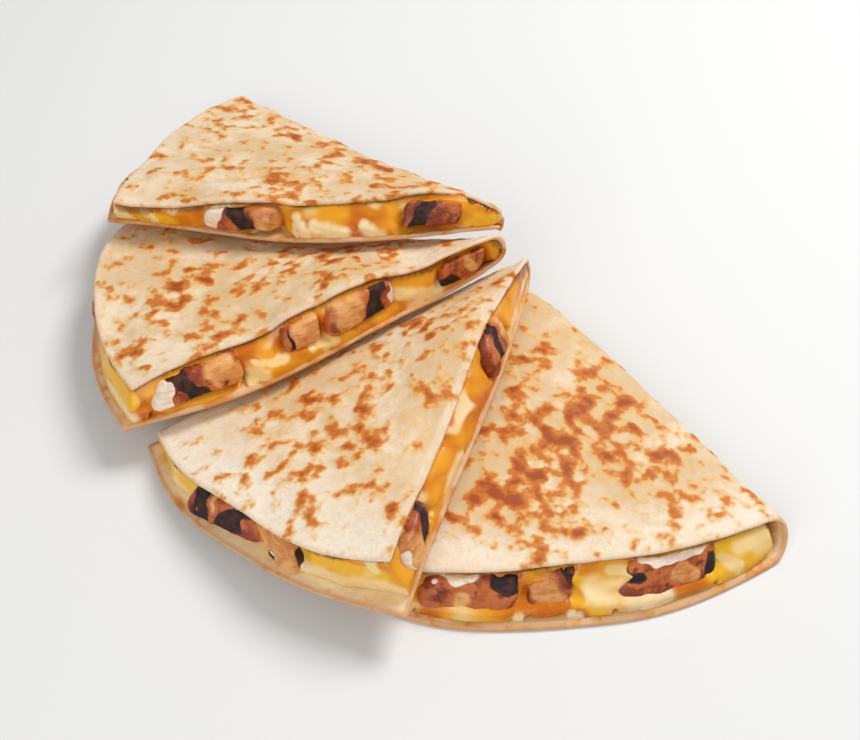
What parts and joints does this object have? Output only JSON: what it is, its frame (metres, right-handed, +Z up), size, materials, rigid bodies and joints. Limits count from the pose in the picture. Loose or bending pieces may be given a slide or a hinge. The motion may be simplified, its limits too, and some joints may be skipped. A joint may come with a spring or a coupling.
{
  "type": "quesadilla",
  "caption": "Folded flour tortilla filled with melted cheese and grilled chicken, cut into wedges that are fanned out and lean on each other.",
  "frame": {"origin": "bottom centre of the fan's box, on the surface that it lies on", "axes": "+X to the right and +Y away as seen from the cut sides, +Z up"},
  "size_m": [0.1976, 0.2113, 0.0451],
  "materials": {
    "toasted_tortilla": "dry, floury, with toasted brown blisters",
    "melted_cheese": "glossy, soft, marbled orange and cream",
    "grilled_chicken": "seared and moist, with dark grill marks"
  },
  "bodies": {
    "root": {"tortilla_a": "toasted_tortilla", "tortilla_b": "toasted_tortilla", "tortilla_c": "toasted_tortilla", "tortilla_d": "toasted_tortilla", "cheese_a": "melted_cheese", "cheese_b": "melted_cheese", "cheese_c": "melted_cheese", "cheese_d": "melted_cheese", "chicken_a1": "grilled_chicken", "chicken_a2": "grilled_chicken", "chicken_a3": "grilled_chicken", "chicken_b1": "grilled_chicken", "chicken_b2": "grilled_chicken", "chicken_b3": "grilled_chicken", "chicken_b4": "grilled_chicken", "chicken_b5": "grilled_chicken", "chicken_c1": "grilled_chicken", "chicken_c2": "grilled_chicken", "chicken_c3": "grilled_chicken", "chicken_c4": "grilled_chicken", "chicken_d1": "grilled_chicken", "chicken_d2": "grilled_chicken", "chicken_d3": "grilled_chicken"}
  },
  "joints": []
}
